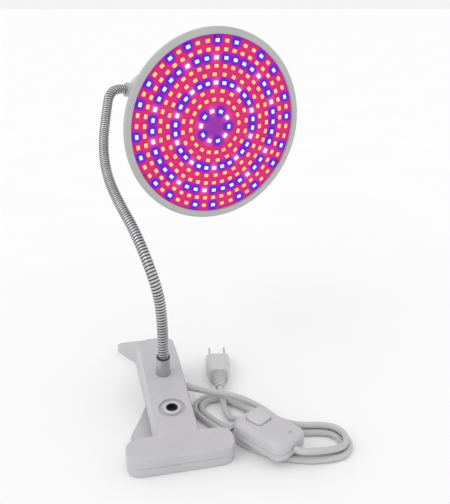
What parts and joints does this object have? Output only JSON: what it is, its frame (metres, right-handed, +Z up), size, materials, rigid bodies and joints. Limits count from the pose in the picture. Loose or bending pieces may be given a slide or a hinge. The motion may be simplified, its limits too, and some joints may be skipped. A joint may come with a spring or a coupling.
{
  "type": "led grow light",
  "caption": "Round LED grow bulb in a lamp holder on a bendable gooseneck hose, standing on a sprung clip, with a folded supply cord, in-line switch and plug.",
  "frame": {"origin": "on the ground, at the middle of the lamp's footprint box without its cord", "axes": "+Z up, the clip's jaws face -Y, +X to the right seen from the jaws"},
  "size_m": [0.1584, 0.2878, 0.2803],
  "materials": {
    "white_plastic": "slightly satin moulded plastic",
    "rubber_pad": "matt grey rubber",
    "nickel": "bright plated metal",
    "steel": "satin steel",
    "dark_trim": "matt dark plastic",
    "chrome_hose": "bright chromed interlocked strip",
    "brass": "plain brass",
    "rim_plastic": "satin grey-white plastic",
    "board_mask": "white solder mask",
    "led_red": "clear encapsulant, red when lit",
    "led_blue": "clear encapsulant, blue when lit",
    "led_white": "encapsulant, white when lit",
    "aluminium": "plain sheet",
    "circuit_green": "circuit board",
    "black_plastic": "components",
    "insulator_black": "black glass-like insulator",
    "cord_sheath": "soft white vinyl",
    "phenolic": "cream moulding compound"
  },
  "bodies": {
    "clip": {"upper_jaw": "white_plastic", "upper_pad": "rubber_pad", "hole_eyelet": "dark_trim", "pivot_pin": "steel", "torsion_spring": "steel", "base_ferrule": "nickel", "ferrule_ring": "dark_trim", "lock_washer": "steel", "lock_nut": "nickel", "hose_1": "chrome_hose", "lead_1": "cord_sheath", "cord_boot": "cord_sheath", "inner_lead": "cord_sheath", "cord_hank": "cord_sheath", "cord_tie": "cord_sheath", "cord_feed": "cord_sheath", "plug_lead": "cord_sheath", "plug_body": "white_plastic", "plug_blades": "nickel", "plug_boot": "cord_sheath", "switch_lower": "white_plastic", "switch_upper": "white_plastic", "switch_core": "dark_trim", "switch_screws": "steel"},
    "lower_clip": {"lower_jaw": "white_plastic", "lower_pad": "rubber_pad"},
    "neck_a": {"hose_2": "chrome_hose", "lead_2": "cord_sheath"},
    "neck_b": {"hose_3": "chrome_hose", "lead_3": "cord_sheath"},
    "neck_c": {"hose_4": "chrome_hose", "lead_4": "cord_sheath"},
    "holder": {"hose_5": "chrome_hose", "lead_5": "cord_sheath", "holder_shell": "white_plastic", "holder_core": "phenolic", "thread_shell": "brass", "holder_cap": "white_plastic", "centre_spring": "brass", "terminal_screws": "steel"},
    "bulb_tip": {"base_insulator": "insulator_black", "centre_contact": "steel"},
    "bulb": {"rim_bezel": "rim_plastic", "bulb_housing": "rim_plastic", "base_collar": "rim_plastic", "screw_shell": "nickel", "heat_spreader": "aluminium", "led_board": "board_mask", "leds_red": "led_red", "leds_blue": "led_blue", "leds_white": "led_white", "board_screws": "steel", "driver_board": "circuit_green", "driver_parts": "black_plastic"},
    "button": {"switch_button": "white_plastic"}
  },
  "joints": [
    {"name": "clip_open", "type": "hinge", "parent": "clip", "child": "lower_clip", "pos_m": [-0.04, -0.0696, 0.01214], "axis": [1, 0, 0], "range_deg": [0, 14], "stiffness_Nm_per_rad": 2, "springref_deg": -28.65, "deforming": ["torsion_spring"]},
    {"name": "neck_bend_1", "type": "hinge", "parent": "clip", "child": "neck_a", "pos_m": [-0.04, -0.05629, 0.06404], "axis": [1, 0, 0], "range_deg": [-30, 30]},
    {"name": "neck_bend_2", "type": "hinge", "parent": "neck_a", "child": "neck_b", "pos_m": [-0.05065, -0.04835, 0.12625], "axis": [0, 0.7217, -0.6922], "range_deg": [-30, 30]},
    {"name": "neck_bend_3", "type": "hinge", "parent": "neck_b", "child": "neck_c", "pos_m": [-0.06615, 0.0144, 0.15925], "axis": [0.9905, 0.1301, 0.0452], "range_deg": [-30, 10]},
    {"name": "neck_bend_4", "type": "hinge", "parent": "neck_c", "child": "holder", "pos_m": [-0.06575, 0.0769, 0.1935], "axis": [0, 0.6432, -0.7657], "range_deg": [-30, 4]},
    {"name": "bulb_travel", "type": "slide", "parent": "holder", "child": "bulb_tip", "axis": [0.2177, -0.974, -0.0628], "range_m": [0, 0.0185]},
    {"name": "bulb_unscrew", "type": "hinge", "parent": "bulb_tip", "child": "bulb", "pos_m": [0.0089, -0.023, 0.2103], "axis": [0.2177, -0.974, -0.0628], "range_deg": [0, 1800]},
    {"name": "button_press", "type": "slide", "parent": "clip", "child": "button", "axis": [0, 0, -1], "range_m": [0, 0.0015], "stiffness_N_per_m": 1500, "springref_m": -0.001}
  ],
  "couplings": [
    {"joint": "bulb_travel", "follows": "bulb_unscrew", "m_per_rad": 0.0005776}
  ]
}
